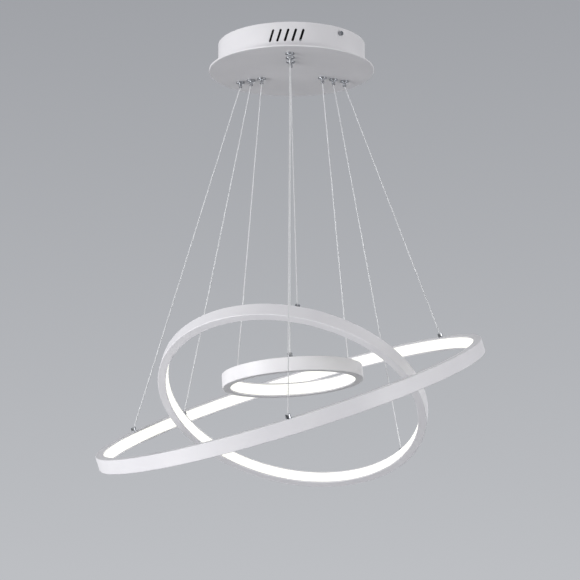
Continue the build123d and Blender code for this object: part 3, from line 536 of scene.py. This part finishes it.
# %% [markdown]
# ## Turned gripper parts
# Each wire leaves the canopy through a gripper: a threaded body whose flange lies against the plate,
# and a sliding plunger below it that is pressed to free the wire. Both are turned on a lathe, so their
# edges are rounded by the tool, and it is these small rounds that catch the light as bright rings. A
# profile turned about the gripper's own axis gives them exactly. Heights are measured from the plate's
# underside.

# %% Turning a profile
PLATE_LOW = -42.5
TURN_STEPS = 40
ROUND_STEPS = 4
ARC_LIMIT = 2.2  # an arc takes up at most a side's length divided by this


def turned(profile, place):
    """Sections of a turned piece: profile is (radius, height) in mm, from its start to its end."""
    angles = [2 * pi * i / TURN_STEPS for i in range(TURN_STEPS)]
    return [[place @ (Vector((r * cos(a), r * sin(a), z)) * MM) for a in angles] for r, z in profile]


def rounded(corners, radius):
    """Rounds every inner corner of a profile by a small arc."""
    out = [corners[0]]
    for before, corner, after in zip(corners, corners[1:], corners[2:]):
        p, c, n = Vector(before), Vector(corner), Vector(after)
        reach = min(radius, (p - c).length / ARC_LIMIT, (n - c).length / ARC_LIMIT)
        a, b = c + (p - c).normalized() * reach, c + (n - c).normalized() * reach
        for t in [k / ROUND_STEPS for k in range(ROUND_STEPS + 1)]:
            out.append(tuple(a * (1 - t) ** 2 + c * 2 * t * (1 - t) + b * t**2))
    return out + [corners[-1]]


def gripper_place(ring_name, side):
    """The gripper's axis where it meets the plate's underside."""
    low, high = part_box(f"plunger_{ring_name}_{side}")
    return Matrix.Translation(((low.x + high.x) / 2, (low.y + high.y) / 2, PLATE_LOW * MM))


first_place = gripper_place("large", "front").translation
print("first gripper at", [round(x * MM_PER_METRE, 1) for x in first_place])

# %% Build the nine plungers
FLANGE_LOW = -2.5
PLUNGER_LOW = FLANGE_LOW - 7.0
WIRE_BORE = 1.0
MOUTH_RADIUS, MOUTH_LIP, MOUTH_DEPTH = 2.3, 0.05, 3.6
TIP_RADIUS, TIP_HEIGHT = 2.42, 0.4
STEM_RADIUS = 2.75
COLLAR_RADIUS, COLLAR_LOW, COLLAR_TOP = 3.2, -1.22, -0.32
NOSE_RADIUS, NOSE_TOP = 1.6, 1.32
PLUNGER_ROUND = 0.2
PLUNGER_PROFILE = rounded(
    [
        (MOUTH_RADIUS, PLUNGER_LOW + MOUTH_LIP),
        (TIP_RADIUS, PLUNGER_LOW),
        (STEM_RADIUS, PLUNGER_LOW + TIP_HEIGHT),
        (STEM_RADIUS, COLLAR_LOW),
        (COLLAR_RADIUS, COLLAR_LOW),
        (COLLAR_RADIUS, COLLAR_TOP),
        (NOSE_RADIUS, COLLAR_TOP),
        (NOSE_RADIUS, NOSE_TOP),
        (WIRE_BORE, NOSE_TOP),
        (WIRE_BORE, PLUNGER_LOW + MOUTH_DEPTH),
        (MOUTH_RADIUS, PLUNGER_LOW + MOUTH_LIP),
    ],
    PLUNGER_ROUND,
)


def turned_plunger(ring_name, side):
    """One plunger on its gripper's axis, from its mouth up to its nose below the balls."""
    node_name = f"plunger_{ring_name}_{side}"
    sections = turned(PLUNGER_PROFILE, gripper_place(ring_name, side))
    piece = skin(f"turned_{node_name}", [sections], chrome, capped=False, sharp_degrees=50)
    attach(piece, node_name)
    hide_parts(node_name)
    return piece


plungers = [turned_plunger(name, side) for name in RINGS for side in SIDES]
print(len(plungers), "plungers")

# %% Build the nine gripper bodies
THREAD_PITCH = 1.0
THREAD_DEPTH = 0.35
SHANK_RADIUS = 4.0
SHANK_TOP = 10.0
SHANK_TIP_RADIUS = 3.6
NUT_TOP = 6.5
FLANGE_RADIUS, FLANGE_ROUND = 6.8, 0.7
STEM_HOLE = 2.83
COLLAR_ROOM, COLLAR_ROOM_LOW = 3.28, -1.3
CONE_NARROW, CONE_LOW = 2.01, 1.76
CONE_WIDE, CONE_TOP = 2.7, 5.0
SPRING_ROOM_TOP = 8.4


def gripper_profile():
    """Round the flange, up the shank and its thread, and down the stepped bore."""
    flange_corners = [(STEM_HOLE, FLANGE_LOW), (FLANGE_RADIUS, FLANGE_LOW), (FLANGE_RADIUS, 0.0)]
    thread = []
    z = NUT_TOP + THREAD_PITCH / 2
    while z < SHANK_TOP - THREAD_PITCH / 2:
        thread += [(SHANK_RADIUS, z), (SHANK_RADIUS - THREAD_DEPTH, z + THREAD_PITCH / 2)]
        z += THREAD_PITCH
    shank = [(SHANK_RADIUS, 0.0)] + thread + [(SHANK_TIP_RADIUS, SHANK_TOP)]
    bore = [
        (WIRE_BORE, SHANK_TOP),
        (WIRE_BORE, SPRING_ROOM_TOP),
        (CONE_WIDE, SPRING_ROOM_TOP),
        (CONE_WIDE, CONE_TOP),
        (CONE_NARROW, CONE_LOW),
        (COLLAR_ROOM, CONE_LOW),
        (COLLAR_ROOM, COLLAR_ROOM_LOW),
        (STEM_HOLE, COLLAR_ROOM_LOW),
        (STEM_HOLE, FLANGE_LOW),
    ]
    return rounded(flange_corners, FLANGE_ROUND) + shank + bore


places = [gripper_place(name, side) for name in RINGS for side in SIDES]
bodies = skin(
    "turned_gripper_bodies",
    [turned(gripper_profile(), place) for place in places],
    chrome,
    capped=False,
    sharp_degrees=40,
)
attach(bodies, "root")
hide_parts("gripper_bodies")
print(len(places), "gripper bodies")

# %% [markdown]
# ## Floor and background
# The chandelier hangs above a plain floor, 2.6 m below the ceiling, as in a room. A pale floor would
# throw so much light up that the undersides of the rings went too bright, so its paint is a mid grey,
# and a glow that only the camera sees makes it pale. From below it is clear, so that a view from
# underneath isn't blocked. The background is a pale grey, a little darker than the white coat, so that
# the rings stand out from it. Only the camera, reflections and glass see it. Everything else gets a
# dim, even white light instead.

# %% Floor
FLOOR_LOW = -2.6
FLOOR_WIDTH = 14
FLOOR_LIFT = 0.42
FLOOR_ROUGHNESS = (0.7, 0.8)
FLOOR_SHADE_MM, FLOOR_GLOSS_MM = 900, 300


def pale_floor():
    """Mid grey to the light, pale to the camera, clear from below."""
    bpy.ops.mesh.primitive_plane_add(size=FLOOR_WIDTH, location=(0, 0, FLOOR_LOW))
    floor = bpy.context.object
    floor.name = "floor"
    material, tree, shader, place = new_material("rolled_floor_paint_grey")
    drift_colour(tree, shader, patches(tree, place, FLOOR_SHADE_MM), "8C8D90", "949598")
    drift_roughness(tree, shader, patches(tree, place, FLOOR_GLOSS_MM), *FLOOR_ROUGHNESS)
    seen = add(tree, "ShaderNodeLightPath").outputs["Is Camera Ray"]
    lift = add(tree, "ShaderNodeMath", {0: seen, 1: FLOOR_LIFT}, operation="MULTIPLY")
    tree.links.new(lift.outputs[0], shader.inputs["Emission Strength"])
    under = add(tree, "ShaderNodeNewGeometry").outputs["Backfacing"]
    clear = add(tree, "ShaderNodeBsdfTransparent")
    mix = add(tree, "ShaderNodeMixShader", {0: under, 1: shader.outputs[0], 2: clear.outputs[0]})
    tree.links.new(mix.outputs[0], tree.nodes["Material Output"].inputs["Surface"])
    floor.data.materials.append(material)
    return floor


print(pale_floor().name, "at", FLOOR_LOW, "m")

# %% Surround
BACKDROP_LOW, BACKDROP_HIGH = "BDBFC3", "9FA1A6"
HIGH_FROM = 0.36  # the upward part of the line of sight from which the shade stays the same
SURROUND = 0.37


def backdrop_shade(tree):
    """The backdrop's shade by how far up one looks: pale at the floor, darker towards the ceiling."""
    direction = add(tree, "ShaderNodeTexCoord").outputs["Generated"]
    split = add(tree, "ShaderNodeSeparateXYZ", {"Vector": direction})
    ramp = add(tree, "ShaderNodeValToRGB", {"Fac": split.outputs["Z"]})
    first, last = ramp.color_ramp.elements
    first.position, last.position = 0.0, HIGH_FROM
    first.color, last.color = linear(BACKDROP_LOW), linear(BACKDROP_HIGH)
    return ramp.outputs["Color"]


def pale_surround():
    """The backdrop as the camera, glass and metal see it, and a dim even light for the rest."""
    world = bpy.data.worlds.new("surround")
    bpy.context.scene.world = world
    world.use_nodes = True
    tree = world.node_tree
    tree.nodes.clear()
    path = add(tree, "ShaderNodeLightPath")
    seen = path.outputs["Is Camera Ray"]
    for kind in ("Is Glossy Ray", "Is Transmission Ray"):
        seen = add(tree, "ShaderNodeMath", {0: seen, 1: path.outputs[kind]}, operation="MAXIMUM").outputs[0]
    shown = add(tree, "ShaderNodeBackground", {"Color": backdrop_shade(tree), "Strength": 1.0})
    light = add(tree, "ShaderNodeBackground", {"Color": linear("FFFFFF"), "Strength": SURROUND})
    mix = add(tree, "ShaderNodeMixShader", {0: seen, 1: light.outputs[0], 2: shown.outputs[0]})
    add(tree, "ShaderNodeOutputWorld", {"Surface": mix.outputs[0]})
    return world


print(pale_surround().name, "strength", SURROUND)

# %% [markdown]
# ## The ceiling over the canopy, drawn as painted shade
# On a real ceiling nothing bright shows through the canopy's slots, because the ceiling inside the
# canopy lies in shadow. A whole ceiling would hide the chandelier from every view from above, so a disc
# over the canopy's open top stands for it, and its dark colour is painted shade, not the colour of the
# plaster. Only the camera sees it, and only from below. To light, and to a camera above, it is clear,
# so the driver can still be seen.

# %% The disc of painted shade that stands for the ceiling
CANOPY_OPENING = 112.0
DISC_CORNERS = 64
PAINTED_SHADE_PATCH_MM = 40
# painted shade: these dark colours stand for the ceiling in shadow, not for its plaster
PAINTED_SHADE_DARK, PAINTED_SHADE_LIGHT = "252528", "323236"


def ceiling_painted_shade():
    """Painted shade: dark behind the canopy's slots, where the ceiling is in shadow, and clear from above."""
    bpy.ops.mesh.primitive_circle_add(
        vertices=DISC_CORNERS, radius=CANOPY_OPENING * MM, fill_type="NGON"
    )
    patch = bpy.context.object
    patch.name = "ceiling_painted_shade"
    material = bpy.data.materials.new("plaster_as_painted_shade")
    material.use_nodes = True
    tree = material.node_tree
    tree.nodes.clear()
    path = add(tree, "ShaderNodeLightPath").outputs["Is Camera Ray"]
    above = add(tree, "ShaderNodeNewGeometry").outputs["Backfacing"]
    clear = add(tree, "ShaderNodeBsdfTransparent")
    place = add(tree, "ShaderNodeTexCoord").outputs["Object"]
    shade = add(tree, "ShaderNodeValToRGB", {"Fac": patches(tree, place, PAINTED_SHADE_PATCH_MM)})
    first, last = shade.color_ramp.elements
    first.color, last.color = linear(PAINTED_SHADE_DARK), linear(PAINTED_SHADE_LIGHT)
    # the dark diffuse colour is painted shade, drawn only for the camera from below
    dark = add(tree, "ShaderNodeBsdfDiffuse", {"Color": shade.outputs["Color"]})
    drawn = add(tree, "ShaderNodeMath", {0: path, 1: above}, operation="SUBTRACT", use_clamp=True)
    mix = add(tree, "ShaderNodeMixShader", {0: drawn.outputs[0], 1: clear.outputs[0], 2: dark.outputs[0]})
    add(tree, "ShaderNodeOutputMaterial", {"Surface": mix.outputs[0]})
    patch.data.materials.append(material)
    patch.data.flip_normals()
    return patch


print(ceiling_painted_shade().name, CANOPY_OPENING, "mm in radius")


# %% [markdown]
# ## Lamps
# The light is soft: a broad lamp at the front left, which makes the canopy brighter on that side as in
# the photograph, a weaker one at the right, one high at the left and a dim one behind for the views
# from the back. All four are square area lamps of one size, because a wide source gives soft edges.

# %% Four soft lamps
LAMP_WIDTH = 1.8
LAMP_AIM = (0, 0, -0.35)


def soft_lamp(name, place, watts):
    """A square white lamp that faces the middle of the chandelier."""
    data = bpy.data.lights.new(name, "AREA")
    data.energy, data.size = watts, LAMP_WIDTH
    lamp = bpy.data.objects.new(name, data)
    lamp.location = place
    lamp.rotation_euler = (Vector(LAMP_AIM) - Vector(place)).to_track_quat("-Z", "Y").to_euler()
    bpy.context.scene.collection.objects.link(lamp)
    return lamp


lamps = [
    soft_lamp("lamp_left", place=(-2.8, -1.5, -0.9), watts=76),
    soft_lamp("lamp_high_left", place=(-2.4, -2.2, 0.5), watts=9),
    soft_lamp("lamp_right", place=(2.6, -1.6, -0.8), watts=40),
    soft_lamp("lamp_behind", place=(0.6, 2.8, 0.2), watts=6),
]
print([(lamp.name, lamp.data.energy) for lamp in lamps])

# %% [markdown]
# ## Camera
# The photograph was taken from a little below the rings, looking slightly up, with a long lens: the
# canopy shows its underside as a flat ellipse. The place and the lens come from fitting the outlines of
# the canopy and the rings. The camera's axes are written out from its yaw, pitch and roll.

# %% Camera at the photograph's view
FOCAL_PIXELS = 1620.2
PICTURE = 580
SENSOR = 36.0
CAMERA_PLACE = (0.0623, -2.4197, -0.8112)
YAW, PITCH, ROLL = -1.548, 9.973, -0.109


def photo_camera():
    """The camera that took the photograph, as fitted."""
    yaw, pitch, roll = radians(YAW), radians(PITCH), radians(ROLL)
    ahead = Vector((sin(yaw) * cos(pitch), cos(yaw) * cos(pitch), sin(pitch)))
    right = Vector((cos(yaw), -sin(yaw), 0))
    up = right.cross(ahead)
    rolled_right = right * cos(roll) + up * sin(roll)
    rolled_up = up * cos(roll) - right * sin(roll)
    data = bpy.data.cameras.new("photo_camera")
    data.sensor_width = SENSOR
    data.lens = FOCAL_PIXELS / PICTURE * SENSOR
    camera = bpy.data.objects.new("photo_camera", data)
    axes = Matrix((rolled_right, rolled_up, -ahead)).transposed().to_4x4()
    camera.matrix_world = Matrix.Translation(CAMERA_PLACE) @ axes
    bpy.context.scene.collection.objects.link(camera)
    bpy.context.scene.camera = camera
    return camera


print("lens", round(photo_camera().data.lens, 1), "mm")

# %% [markdown]
# ## Finish
# The view transform is Standard, so that a colour comes out as it is written.

# %% Finish
bpy.context.scene.view_settings.view_transform = "Standard"
